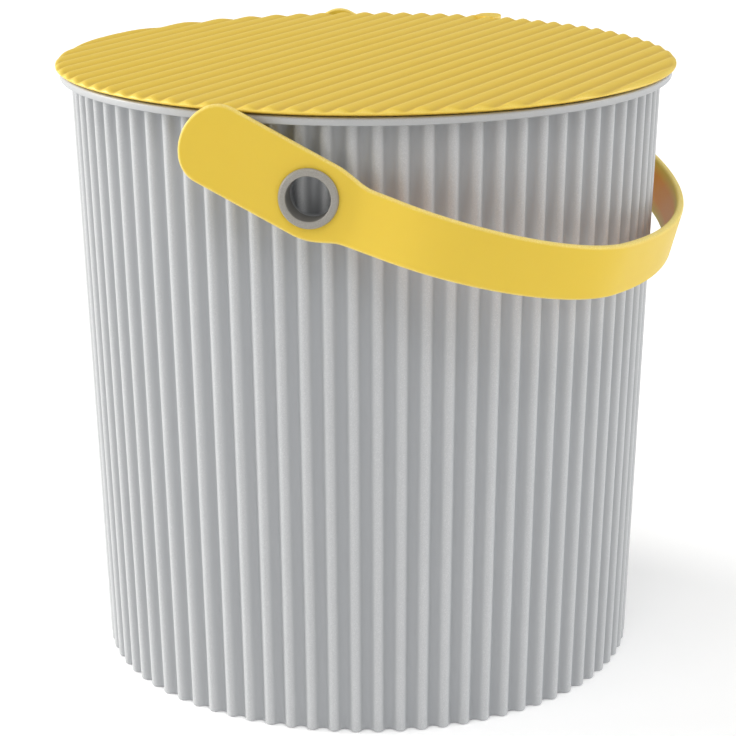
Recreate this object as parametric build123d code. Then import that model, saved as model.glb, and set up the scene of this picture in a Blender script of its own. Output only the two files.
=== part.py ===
from build123d import *
import math
import os

# Lidded household bucket with a swinging strap handle, in millimetres.
# +Z is up, the origin is the middle of the foot, the handle pivots about a line along Y
# and rests on the +X side.

# Bucket wall: a tapered shell whose cross-section is a closed wave of equal upright ribs
FOOT_CREST_R = 116.0
TOP_CREST_R = 123.7
RIB_COUNT = 80
RIB_DEPTH = 2.9
RIB_FLAT_SHARE = 0.36
WALL = 2.0
FLOOR = 2.5
FOOT_RECESS = 3.0
FIRST_CREST_ANGLE = 90.0 + 180.0 / RIB_COUNT

# Rim: a smooth flat ring with a turned-down lip
RIM_OVERHANG = 4.6
RIM_LOW_Z = 251.4
RIM_HEIGHT = 3.1
RIM_LIP = 1.8
RIM_PLATE = 1.6
RIM_EDGE = 0.7
MOUTH_STEP = 0.3

# Handle pivots
PIVOT_BELOW_RIM = 26.4
SHANK_R = 10.0
COLLAR_WALL = 1.5
COLLAR_OVERLAP = 1.5
COLLAR_FLANGE = 1.6
COLLAR_EDGE = 0.7
COLLAR_SEAT_DEPTH = 4.2
SOCKET_WALL = 3.2
RUNNING_CLEARANCE = 0.08
SEAT_CLEARANCE = 0.05
FACE_CLEARANCE = 0.3

# Handle: a flat strap bent to a rounded bail, with a wide tab at each end
STRAP_THICKNESS = 3.2
STRAP_ROOT_HALF_WIDTH = 12.1
STRAP_END_HALF_WIDTH = 10.3
STRAP_DROOP = 15.0
STRAP_DROP = 2.0
TAB_RIM_GAP = 0.7
TAB_HALF_WIDTH = 15.9
TAB_REACH = 53.4
TAB_END_R = 18.9
TAB_CORNER_R = 11.8
TAB_TILT = 12.6
SHOULDER_X = 5.9
NECK_X = 17.3
SHOULDER_R = 24.0
NECK_R = 16.0
KNEE_GAP = 4.6
SPLAY_BEND_R = 25.0
BAIL_LID_GAP = 0.6
BAIL_BULGE = 7.2
BAIL_CORNER_R = 72.4
BAIL_CORNER_LIMIT = 0.52
BAIL_APEX_R = 247.0
HANDLE_EDGE = 0.7

# Lid: a ribbed plate with a plug skirt, turned so that its ribs point to the lift tab
LID_OVERHANG = 1.7
LID_PLATE = 1.0
LID_RIB_HEIGHT = 1.5
LID_RIB_PITCH = 8.5
LID_TURN = 71.5
LID_SEAT_STEP = 1.0
LID_SEAT_INSET = 1.8
LID_SEAT_WIDTH = 4.0
PLUG_CLEARANCE = 0.8
PLUG_WALL = 1.6
PLUG_DEPTH = 9.0
LIFT_TAB_WIDTH = 14.0
LIFT_TAB_REACH = 6.5
LIFT_TAB_THICKNESS = 1.8
STIFFENER_WIDTH = 1.4
STIFFENER_DEPTH = 3.0
STIFFENER_RINGS = 1
STIFFENER_SPOKES = 8

# Places and sizes that follow from the values above
RIM_R = TOP_CREST_R + RIM_OVERHANG
RIM_TOP_Z = RIM_LOW_Z + RIM_HEIGHT
WALL_TOP_Z = RIM_TOP_Z - RIM_PLATE
LID_R = RIM_R + LID_OVERHANG
LID_UNDER_Z = RIM_TOP_Z + FACE_CLEARANCE + LID_SEAT_STEP
LID_TOP_Z = LID_UNDER_Z + LID_PLATE + LID_RIB_HEIGHT
PIVOT_Z = RIM_LOW_Z - PIVOT_BELOW_RIM
TAB_INNER_Y = RIM_R + TAB_RIM_GAP
TAB_FACE_Y = TAB_INNER_Y + STRAP_THICKNESS
SOCKET_FACE_Y = TAB_INNER_Y - FACE_CLEARANCE
BAIL_HALF_WIDTH = TAB_FACE_Y + BAIL_BULGE
BAIL_REACH = math.hypot(LID_R, LID_TOP_Z - PIVOT_Z) + STRAP_THICKNESS + BAIL_LID_GAP


def crest_radius(z):
    """Radius over the rib crests at height z."""
    return FOOT_CREST_R + (TOP_CREST_R - FOOT_CREST_R) * z / RIM_LOW_Z


def polar(radius, degrees):
    """Point in the section plane at a radius and an angle."""
    return Vector(radius * math.cos(math.radians(degrees)), radius * math.sin(math.radians(degrees)))


def wave_face(z, inset=0.0):
    """Closed wave at height z, moved inwards by inset: tangent bends, each cut to one flat and two flanks."""
    crest_r = crest_radius(z)
    valley_r = crest_r - RIB_DEPTH
    half_pitch = 180.0 / RIB_COUNT
    cosine = math.cos(math.radians(half_pitch))
    a = 2.0 * cosine - 2.0
    b = -2.0 * RIB_DEPTH * (1.0 + cosine)
    c = crest_r**2 + valley_r**2 - 2.0 * crest_r * valley_r * cosine
    bend_r = (-b - math.sqrt(b * b - 4.0 * a * c)) / (2.0 * a)
    crest_centre = Vector(crest_r - bend_r, 0)
    valley_centre = polar(valley_r + bend_r, half_pitch)
    to_valley = valley_centre - crest_centre
    turn = math.degrees(math.atan2(to_valley.Y, to_valley.X))
    crest_half = RIB_FLAT_SHARE * turn
    valley_half = RIB_FLAT_SHARE * (turn - half_pitch)
    corners = [
        crest_centre + polar(bend_r - inset, -crest_half),
        crest_centre + polar(bend_r - inset, crest_half),
        valley_centre + polar(bend_r + inset, 180.0 + half_pitch + valley_half),
        valley_centre + polar(bend_r + inset, 180.0 + half_pitch - valley_half),
    ]
    points = []
    for rib in range(RIB_COUNT):
        angle = FIRST_CREST_ANGLE + 2.0 * half_pitch * rib
        points += [corner.rotate(Axis.Z, angle) for corner in corners]
    return Pos(0, 0, z) * make_face(Polyline(*points, close=True))


def outer_wall():
    """Solid ribbed taper up to the rim."""
    return loft([wave_face(0), wave_face(WALL_TOP_Z)], ruled=True)


def cavity():
    """Ribbed space inside the bucket, one wall's thickness inside its outer wave."""
    return loft([wave_face(FOOT_RECESS + FLOOR, WALL), wave_face(WALL_TOP_Z, WALL)], ruled=True)


def mouth_radius():
    """Radius of the smooth mouth inside the rim, just inside the ribs."""
    return crest_radius(WALL_TOP_Z) - RIB_DEPTH - WALL - MOUTH_STEP


def rim_ring():
    """Smooth flat ring over the end of the wall, with its lip turned down outside it."""
    outline = Polyline(
        (mouth_radius(), WALL_TOP_Z),
        (RIM_R - RIM_LIP, WALL_TOP_Z),
        (RIM_R - RIM_LIP, RIM_LOW_Z),
        (RIM_R, RIM_LOW_Z),
        (RIM_R, RIM_TOP_Z - RIM_EDGE),
        (RIM_R - RIM_EDGE, RIM_TOP_Z),
        (mouth_radius(), RIM_TOP_Z),
        close=True,
    )
    return revolve(make_face(Plane.XZ * outline), Axis.Z)


def pivot_disc(radius, near_y, far_y, side):
    """Cylinder along Y on the pivot line, on the front (-1) or back (+1) side."""
    length = far_y - near_y
    centre = side * (near_y + length / 2.0)
    return Pos(0, centre, PIVOT_Z) * Rot(90, 0, 0) * Cylinder(radius, length)


def pivot_tube(side):
    """Tube on the wall round the pivot; the ribbed wall shows at its bottom."""
    root_y = crest_radius(PIVOT_Z) - RIB_DEPTH - WALL
    outer_r = SHANK_R + SEAT_CLEARANCE + SOCKET_WALL
    tube = pivot_disc(outer_r, root_y, SOCKET_FACE_Y, side)
    return tube - pivot_disc(SHANK_R - COLLAR_WALL, root_y - 1, SOCKET_FACE_Y, side)


def collar_seat(side):
    """Space in the end of the tube that takes the collar's shank."""
    shoulder_y = SOCKET_FACE_Y - COLLAR_SEAT_DEPTH
    return pivot_disc(SHANK_R + SEAT_CLEARANCE, shoulder_y, SOCKET_FACE_Y + 1, side)


def bucket():
    """Ribbed bucket with its floor, rim and pivot sockets as one moulding."""
    body = outer_wall()
    for side in (-1, 1):
        body += pivot_tube(side)
        body -= collar_seat(side)
    body -= cavity()
    recess_r = crest_radius(0) - RIB_DEPTH - WALL - MOUTH_STEP
    body -= Pos(0, 0, FOOT_RECESS / 2.0) * Cylinder(recess_r, FOOT_RECESS)
    return body + rim_ring()


def pivot_collar(side):
    """Hollow flanged collar that snaps into the socket and carries the handle's tab."""
    flange_y = TAB_FACE_Y + FACE_CLEARANCE
    outer_y = flange_y + COLLAR_FLANGE
    seat_y = SOCKET_FACE_Y - COLLAR_SEAT_DEPTH + SEAT_CLEARANCE
    bore_r = SHANK_R - COLLAR_WALL
    flange_r = SHANK_R + COLLAR_OVERLAP
    outline = Polyline(
        (bore_r, seat_y),
        (SHANK_R, seat_y),
        (SHANK_R, flange_y),
        (flange_r, flange_y),
        (flange_r, outer_y - COLLAR_EDGE),
        (flange_r - COLLAR_EDGE, outer_y),
        (bore_r, outer_y),
        close=True,
    )
    ring = revolve(make_face(outline), Axis.Y)
    if side < 0:
        ring = mirror(ring, about=Plane.XZ)
    return Pos(0, 0, PIVOT_Z) * ring


def bail_plan(inset):
    """Plan region of the bail inside its outer face, drawn in by inset: straight tabs, splayed arms,
    a round corner each side and a flatter round end."""
    full_corner_r = min(BAIL_CORNER_R, BAIL_CORNER_LIMIT * BAIL_HALF_WIDTH)
    apex_x = BAIL_REACH - BAIL_APEX_R
    corner_y = BAIL_HALF_WIDTH - full_corner_r
    corner = Vector(apex_x + math.sqrt((BAIL_APEX_R - full_corner_r) ** 2 - corner_y**2), corner_y)
    knee = Vector(SHANK_R + COLLAR_OVERLAP + KNEE_GAP, TAB_FACE_Y)
    across = corner - knee
    splay = math.atan2(across.Y, across.X) + math.asin(full_corner_r / across.length)
    turn = math.degrees(splay)
    meet_turn = math.degrees(math.atan2(corner.Y, corner.X - apex_x))
    tab_y = TAB_FACE_Y - inset
    corner_r = full_corner_r - inset
    bend_r = SPLAY_BEND_R + inset
    arm_end = corner + polar(corner_r, 90.0 + turn)
    inner_knee_x = arm_end.X - (arm_end.Y - tab_y) / math.tan(splay)
    tangent = bend_r * math.tan(splay / 2.0)
    bend_start = Vector(inner_knee_x - tangent, tab_y)
    bend_middle = bend_start + Vector(0, bend_r) + polar(bend_r, -90.0 + turn / 2.0)
    arm_start = Vector(inner_knee_x, tab_y) + polar(tangent, turn)
    corner_middle = corner + polar(corner_r, (90.0 + turn + meet_turn) / 2.0)
    meet = corner + polar(corner_r, meet_turn)
    back = Vector(-TAB_REACH - 10.0, tab_y)
    half = [
        Line(back, bend_start),
        ThreePointArc(bend_start, bend_middle, arm_start),
        Line(arm_start, arm_end),
        ThreePointArc(arm_end, corner_middle, meet),
    ]
    other_half = [mirror(edge, about=Plane.XZ) for edge in half]
    apex = ThreePointArc(meet, (BAIL_REACH - inset, 0), (meet.X, -meet.Y))
    closing = Line(back, (back.X, -back.Y))
    return make_face(half + other_half + [apex, closing])


def tab_point(along, across):
    """Point of the side view given along and across the tab, which tilts up behind the pivot."""
    return Vector(along, across).rotate(Axis.Z, -TAB_TILT)


def strap_edge(x, side):
    """Point on the upper (+1) or lower (-1) edge of the strap, which narrows towards the bail's end."""
    narrowing = (STRAP_ROOT_HALF_WIDTH - STRAP_END_HALF_WIDTH) * x / BAIL_REACH
    return Vector(x, side * (STRAP_ROOT_HALF_WIDTH - narrowing) - STRAP_DROP)


def neck_edge(side):
    """Shoulder and neck points of the upper (+1) or lower (-1) edge of the side view."""
    shoulder = tab_point(SHOULDER_X, side * TAB_HALF_WIDTH)
    neck_x = tab_point(NECK_X, side * STRAP_ROOT_HALF_WIDTH).X
    return shoulder, strap_edge(neck_x, side), strap_edge(1.3 * BAIL_REACH, side)


def side_outline():
    """Side view of the handle along its strap, with the pivot at the origin."""
    end_x = TAB_END_R - TAB_REACH - math.sqrt(TAB_END_R**2 - TAB_HALF_WIDTH**2)
    end_top = tab_point(end_x, TAB_HALF_WIDTH)
    end_low = tab_point(end_x, -TAB_HALF_WIDTH)
    upper = neck_edge(1)
    lower = neck_edge(-1)
    outline = Polyline(end_top, *upper, *reversed(lower), end_low)
    outline += ThreePointArc(end_low, tab_point(-TAB_REACH, 0), end_top)
    face = make_face(outline)
    for point, radius in (
        (end_top, TAB_CORNER_R),
        (end_low, TAB_CORNER_R),
        (upper[0], SHOULDER_R),
        (lower[0], SHOULDER_R),
        (upper[1], NECK_R),
        (lower[1], NECK_R),
    ):
        face = fillet(face.vertices().sort_by_distance(point)[0], radius)
    return face


def handle():
    """Strap bail with two tabs, in its rest position."""
    band = bail_plan(0.0) - bail_plan(STRAP_THICKNESS)
    band = extrude(band, BAIL_REACH / 2.0, both=True)
    side_view = extrude(Plane.XZ * side_outline(), 1.2 * BAIL_HALF_WIDTH, both=True)
    bail = band & side_view
    bail = chamfer(bail.edges(), HANDLE_EDGE)
    bail -= Rot(90, 0, 0) * Cylinder(SHANK_R + RUNNING_CLEARANCE, 3 * BAIL_HALF_WIDTH)
    return Pos(0, 0, PIVOT_Z) * Rot(0, STRAP_DROOP, 0) * bail


def lid_ribs():
    """Parallel round-topped ribs across the whole plate, along X."""
    low_z = LID_UNDER_Z + LID_PLATE
    count = 2 * math.ceil(LID_R / LID_RIB_PITCH) + 1
    start_y = -count * LID_RIB_PITCH / 2.0
    outline = [Line((-start_y, low_z - LID_PLATE / 2.0), (start_y, low_z - LID_PLATE / 2.0))]
    outline.append(Line((start_y, low_z - LID_PLATE / 2.0), (start_y, low_z)))
    for rib in range(count):
        left = start_y + rib * LID_RIB_PITCH
        right = left + LID_RIB_PITCH
        top = (left + LID_RIB_PITCH / 2.0, low_z + LID_RIB_HEIGHT)
        outline.append(ThreePointArc((left, low_z), top, (right, low_z)))
    outline.append(Line((-start_y, low_z), (-start_y, low_z - LID_PLATE / 2.0)))
    section = Plane.YZ * make_face(outline)
    return extrude(section, LID_R + LIFT_TAB_REACH, both=True)


def lift_tab():
    """Small rounded finger tab in line with the ribs."""
    length = 2.0 * LIFT_TAB_REACH
    tab = Rectangle(length, LIFT_TAB_WIDTH)
    tab = fillet(tab.vertices().sort_by(Axis.X)[-2:], 0.45 * LIFT_TAB_WIDTH)
    tab = extrude(tab, LIFT_TAB_THICKNESS)
    return Pos(LID_R + LIFT_TAB_REACH - length / 2.0, 0, LID_UNDER_Z) * tab


def ring(inner_r, outer_r, low_z, high_z):
    """Plain upright ring."""
    height = high_z - low_z
    tube = Cylinder(outer_r, height) - Cylinder(inner_r, height)
    return Pos(0, 0, low_z + height / 2.0) * tube


def lid_plug():
    """Plug skirt inside the mouth, seat on the rim and stiffening rings and spokes."""
    join_z = LID_UNDER_Z + LID_PLATE / 2.0
    plug_r = mouth_radius() - PLUG_CLEARANCE
    seat_r = RIM_R - LID_SEAT_INSET
    parts = ring(plug_r - PLUG_WALL, plug_r, LID_UNDER_Z - PLUG_DEPTH, join_z)
    parts += ring(seat_r - LID_SEAT_WIDTH, seat_r, LID_UNDER_Z - LID_SEAT_STEP, join_z)
    low_z = LID_UNDER_Z - STIFFENER_DEPTH
    spacing = plug_r / (STIFFENER_RINGS + 1)
    for index in range(STIFFENER_RINGS):
        radius = spacing * (index + 1)
        parts += ring(radius - STIFFENER_WIDTH, radius, low_z, join_z)
    inner_r = spacing - STIFFENER_WIDTH / 2.0
    spoke_length = plug_r - PLUG_WALL / 2.0 - inner_r
    spoke = Box(spoke_length, STIFFENER_WIDTH, join_z - low_z)
    spoke = Pos(inner_r + spoke_length / 2.0, 0, (low_z + join_z) / 2.0) * spoke
    for index in range(STIFFENER_SPOKES):
        parts += Rot(0, 0, index * 360.0 / STIFFENER_SPOKES) * spoke
    return parts


def lid():
    """Ribbed plate lid in its closed position."""
    height = LID_TOP_Z - LID_UNDER_Z
    disc = Pos(0, 0, LID_UNDER_Z + height / 2.0) * Cylinder(LID_R, height)
    plate = Pos(0, 0, LID_UNDER_Z + LID_PLATE / 2.0) * Cylinder(LID_R, LID_PLATE)
    plate += lid_ribs() & disc
    plate += lift_tab()
    plate += lid_plug()
    return Rot(0, 0, LID_TURN) * plate


def main():
    os.makedirs("parts", exist_ok=True)
    nodes = {
        "bucket": bucket(),
        "lid": lid(),
        "handle": handle(),
        "pivot_collar_front": pivot_collar(-1),
        "pivot_collar_back": pivot_collar(1),
    }
    for name, shape in nodes.items():
        export_step(shape, f"parts/{name}.step")


main()
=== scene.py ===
"""Looks for the lidded ribbed bucket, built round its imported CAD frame."""

import logging
import math
from dataclasses import dataclass, field
from enum import Enum
from typing import Callable

import bmesh
import bpy
import numpy as np
from mathutils import Matrix, Vector
from mathutils.geometry import delaunay_2d_cdt

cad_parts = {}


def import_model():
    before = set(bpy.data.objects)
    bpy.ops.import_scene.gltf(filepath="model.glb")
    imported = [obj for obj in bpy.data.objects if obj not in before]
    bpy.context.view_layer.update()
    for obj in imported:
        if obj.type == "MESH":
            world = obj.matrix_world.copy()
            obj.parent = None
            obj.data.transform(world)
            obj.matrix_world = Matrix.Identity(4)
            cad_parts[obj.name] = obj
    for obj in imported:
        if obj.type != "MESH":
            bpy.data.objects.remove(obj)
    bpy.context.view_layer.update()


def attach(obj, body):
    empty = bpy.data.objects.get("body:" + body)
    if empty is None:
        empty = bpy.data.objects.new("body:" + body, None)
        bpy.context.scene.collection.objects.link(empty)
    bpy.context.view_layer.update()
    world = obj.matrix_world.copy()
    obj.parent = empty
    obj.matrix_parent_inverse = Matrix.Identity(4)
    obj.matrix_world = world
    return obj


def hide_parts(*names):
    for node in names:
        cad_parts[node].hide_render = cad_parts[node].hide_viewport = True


LOG = logging.getLogger("bucket")
MM = 0.001
WELD = 2e-6
TOLERANCE = 1e-7
# Mask value that leaves the body colour as it is: lower paints shade, higher paints a highlight, and on the
# rim top shows rubbed wear.
PLAIN_BODY_TONE = 0.5
Flat = tuple[float, float]
Point = tuple[float, float, float]
Colour = tuple[float, float, float, float]
Group = tuple[bpy.types.NodeTree, bpy.types.Node, bpy.types.Node]
MIX_A, MIX_B, MIX_OUT = 6, 7, 2
WHITE: Colour = (1.0, 1.0, 1.0, 1.0)


class Side(Enum):
    """The two ends of the pivot line."""

    FRONT = -1
    BACK = 1


def polar(radius: float, degrees: float) -> Flat:
    """Point of the plane at a radius and an angle."""
    turn = math.radians(degrees)
    return radius * math.cos(turn), radius * math.sin(turn)


def round_corners(corners: list[Point], steps: int = 6, closed: bool = True) -> list[Flat]:
    """Outline with its corners rounded.

    Args:
        corners: x, y and corner radius of each corner, in order.
        steps: flats in each rounded corner.
        closed: whether the last corner joins the first.

    Returns:
        The points of the rounded outline.
    """
    outline: list[Flat] = []
    count = len(corners)
    for index, (x, y, radius) in enumerate(corners):
        is_end = not closed and index in (0, count - 1)
        if radius <= 0.0 or is_end:
            outline.append((x, y))
            continue
        here = Vector((x, y))
        back = (Vector(corners[index - 1][:2]) - here).normalized()
        ahead = (Vector(corners[(index + 1) % count][:2]) - here).normalized()
        half = back.angle(ahead) / 2.0
        reach = radius / math.tan(half)
        centre = here + (back + ahead).normalized() * (radius / math.sin(half))
        start = here + back * reach - centre
        end = here + ahead * reach - centre
        swing = start.angle_signed(end)
        for step in range(steps + 1):
            spoke = start.copy()
            spoke.rotate(Matrix.Rotation(-swing * step / steps, 2))
            outline.append(tuple(centre + spoke))
    return outline


class Sketch:
    """Points, faces and painted light and wear values of one mesh while it is drawn."""

    def __init__(self) -> None:
        """Starts empty."""
        self.points: list[Point] = []
        self.faces: list[tuple[int, ...]] = []
        self.painted_light_and_wear: list[float] = []

    def add(self, point: Point, painted_light_and_wear: float = PLAIN_BODY_TONE) -> int:
        """Adds a point.

        Args:
            point: its place.
            painted_light_and_wear: 0 paints full shade in a hollow, 1 the full pale colour: a painted
                highlight on ribs and edges, rubbed wear on the rim top.

        Returns:
            Its number.
        """
        self.points.append(tuple(point))
        self.painted_light_and_wear.append(painted_light_and_wear)
        return len(self.points) - 1

    def row(self, points: list[Point], painted_light_and_wear: list[float] | float = PLAIN_BODY_TONE) -> list[int]:
        """Adds a row of points.

        Args:
            points: their places.
            painted_light_and_wear: one value for all, or one for each.

        Returns:
            Their numbers.
        """
        values = painted_light_and_wear if isinstance(painted_light_and_wear, list) else [painted_light_and_wear] * len(points)
        return [self.add(point, value) for point, value in zip(points, values)]

    def bridge(self, first: list[int], second: list[int], closed: bool = True) -> None:
        """Joins two rows of as many points with four-sided faces.

        Args:
            first: one row.
            second: the other row.
            closed: whether the rows' ends meet.
        """
        count = len(first)
        for index in range(count if closed else count - 1):
            after = (index + 1) % count
            self.faces.append((first[index], first[after], second[after], second[index]))

    def fan(self, ring: list[int], centre: Point) -> None:
        """Closes a ring of points towards its middle.

        Args:
            ring: the ring's points.
            centre: place of the middle.
        """
        hub = self.add(centre)
        for index, corner in enumerate(ring):
            self.faces.append((corner, ring[(index + 1) % len(ring)], hub))

    def turned(self, profile: list[Flat], place: Callable[[float, float, float], Point], segments: int,
               painted_light_and_wear: list[float] | None = None, closed: bool = True) -> None:
        """Adds a turned form.

        Args:
            profile: radius and height of each point of the section.
            place: gives the place of a point from its radius, angle and height.
            segments: flats round the form.
            painted_light_and_wear: a value for each point of the section.
            closed: whether the section's last point joins its first.
        """
        rows = []
        for index, (radius, height) in enumerate(profile):
            value = painted_light_and_wear[index] if painted_light_and_wear else PLAIN_BODY_TONE
            ring = [place(radius, 2.0 * math.pi * turn / segments, height) for turn in range(segments)]
            rows.append(self.row(ring, value))
        for index in range(len(rows) if closed else len(rows) - 1):
            self.bridge(rows[index], rows[(index + 1) % len(rows)])

    def piece(self, name: str, material: bpy.types.Material, crease: float = 40.0) -> bpy.types.Object:
        """Makes the object.

        Args:
            name: the piece's name.
            material: its finish.
            crease: edges sharper than this many degrees stay crisp.

        Returns:
            The object, in the scene, with smooth shading.
        """
        mesh = bpy.data.meshes.new(name)
        mesh.from_pydata(self.points, [], self.faces)
        # Mask of painted shade, painted highlights and rubbed wear, read by the shader.
        painted_light_and_wear = mesh.attributes.new("painted_light_and_wear", "FLOAT", "POINT")
        painted_light_and_wear.data.foreach_set("value", self.painted_light_and_wear)
        drawn = bmesh.new()
        drawn.from_mesh(mesh)
        bmesh.ops.remove_doubles(drawn, verts=drawn.verts, dist=WELD)
        bmesh.ops.recalc_face_normals(drawn, faces=drawn.faces)
        drawn.to_mesh(mesh)
        drawn.free()
        mesh.materials.append(material)
        mesh.shade_smooth()
        mesh.set_sharp_from_angle(angle=math.radians(crease))
        made = bpy.data.objects.new(name, mesh)
        bpy.context.scene.collection.objects.link(made)
        weighted = made.modifiers.new("even shading", "WEIGHTED_NORMAL")
        weighted.keep_sharp = True
        LOG.info("%s: %d points", name, len(mesh.vertices))
        return made


def about_z(radius: float, turn: float, height: float) -> Point:
    """Place of a point turned about the bucket's axis."""
    return radius * math.cos(turn), radius * math.sin(turn), height


def new_group(name: str, inputs: list[tuple[str, str, object]], outputs: list[tuple[str, str]]) -> Group:
    """Starts a shader node group.

    Args:
        name: the group's name.
        inputs: name, socket type and default value of each input.
        outputs: name and socket type of each output.

    Returns:
        The group, its input node and its output node.
    """
    group = bpy.data.node_groups.new(name, "ShaderNodeTree")
    for label, kind, value in inputs:
        socket = group.interface.new_socket(label, in_out="INPUT", socket_type=kind)
        socket.default_value = value
    for label, kind in outputs:
        group.interface.new_socket(label, in_out="OUTPUT", socket_type=kind)
    return group, group.nodes.new("NodeGroupInput"), group.nodes.new("NodeGroupOutput")


def moulded_grain_group() -> bpy.types.NodeTree:
    """Fine moulding grain over a soft unevenness.

    Returns:
        A group that puts out a bump height, a cloudiness mask and a fine speckle mask.
    """
    group, given, out = new_group(
        "moulded grain",
        [("Grain Scale", "NodeSocketFloat", 2600.0), ("Cloud Scale", "NodeSocketFloat", 22.0),
         ("Sink Depth", "NodeSocketFloat", 0.35)],
        [("Height", "NodeSocketFloat"), ("Cloud", "NodeSocketFloat"), ("Speckle", "NodeSocketFloat")],
    )
    nodes, links = group.nodes, group.links
    place = nodes.new("ShaderNodeTexCoord")
    grain = nodes.new("ShaderNodeTexNoise")
    grain.inputs["Detail"].default_value = 3.0
    grain.inputs["Roughness"].default_value = 0.6
    cloud = nodes.new("ShaderNodeTexNoise")
    cloud.inputs["Detail"].default_value = 4.0
    speckle = nodes.new("ShaderNodeTexVoronoi")
    total = nodes.new("ShaderNodeMath")
    total.operation = "MULTIPLY_ADD"
    for texture in (grain, cloud, speckle):
        links.new(place.outputs["Object"], texture.inputs["Vector"])
    links.new(given.outputs["Grain Scale"], grain.inputs["Scale"])
    links.new(given.outputs["Grain Scale"], speckle.inputs["Scale"])
    links.new(given.outputs["Cloud Scale"], cloud.inputs["Scale"])
    links.new(cloud.outputs["Fac"], total.inputs[0])
    links.new(given.outputs["Sink Depth"], total.inputs[1])
    links.new(grain.outputs["Fac"], total.inputs[2])
    links.new(total.outputs["Value"], out.inputs["Height"])
    links.new(cloud.outputs["Fac"], out.inputs["Cloud"])
    links.new(speckle.outputs["Distance"], out.inputs["Speckle"])
    return group


def shade_highlight_wear_group() -> bpy.types.NodeTree:
    """Painted highlights on ribs and edges, rubbed wear on the rim top and painted shade in hollows, from
    each mesh's mask values.

    Returns:
        A group that puts out a colour and the mask of painted highlight and wear.
    """
    group, given, out = new_group(
        "painted shade, highlights and wear",
        [("Body", "NodeSocketColor", (0.5, 0.5, 0.5, 1.0)),
         ("Rubbed", "NodeSocketColor", (0.7, 0.7, 0.7, 1.0)),
         ("Hollow", "NodeSocketColor", (0.3, 0.3, 0.3, 1.0)),
         ("Break Up", "NodeSocketFloat", 0.5)],
        [("Color", "NodeSocketColor"), ("Highlight And Wear Mask", "NodeSocketFloat")],
    )
    nodes, links = group.nodes, group.links
    painted_light_and_wear = nodes.new("ShaderNodeAttribute")
    painted_light_and_wear.attribute_name = "painted_light_and_wear"
    # Above the plain value: painted highlight, and rubbed wear on the rim top.
    highlight_and_wear_mask = nodes.new("ShaderNodeMapRange")
    highlight_and_wear_mask.inputs["From Min"].default_value = PLAIN_BODY_TONE
    highlight_and_wear_mask.inputs["From Max"].default_value = 1.0
    # Below the plain value: painted shade in hollows.
    painted_shade_mask = nodes.new("ShaderNodeMapRange")
    painted_shade_mask.inputs["From Min"].default_value = PLAIN_BODY_TONE
    painted_shade_mask.inputs["From Max"].default_value = 0.0
    patchy = nodes.new("ShaderNodeMath")
    patchy.operation = "MULTIPLY"
    lighter = nodes.new("ShaderNodeMix")
    lighter.data_type = "RGBA"
    deeper = nodes.new("ShaderNodeMix")
    deeper.data_type = "RGBA"
    links.new(painted_light_and_wear.outputs["Fac"], highlight_and_wear_mask.inputs["Value"])
    links.new(painted_light_and_wear.outputs["Fac"], painted_shade_mask.inputs["Value"])
    links.new(highlight_and_wear_mask.outputs["Result"], patchy.inputs[0])
    links.new(given.outputs["Break Up"], patchy.inputs[1])
    links.new(patchy.outputs["Value"], lighter.inputs[0])
    links.new(given.outputs["Body"], lighter.inputs[MIX_A])
    links.new(given.outputs["Rubbed"], lighter.inputs[MIX_B])
    links.new(painted_shade_mask.outputs["Result"], deeper.inputs[0])
    links.new(lighter.outputs[MIX_OUT], deeper.inputs[MIX_A])
    links.new(given.outputs["Hollow"], deeper.inputs[MIX_B])
    links.new(deeper.outputs[MIX_OUT], out.inputs["Color"])
    links.new(patchy.outputs["Value"], out.inputs["Highlight And Wear Mask"])
    return group


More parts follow.
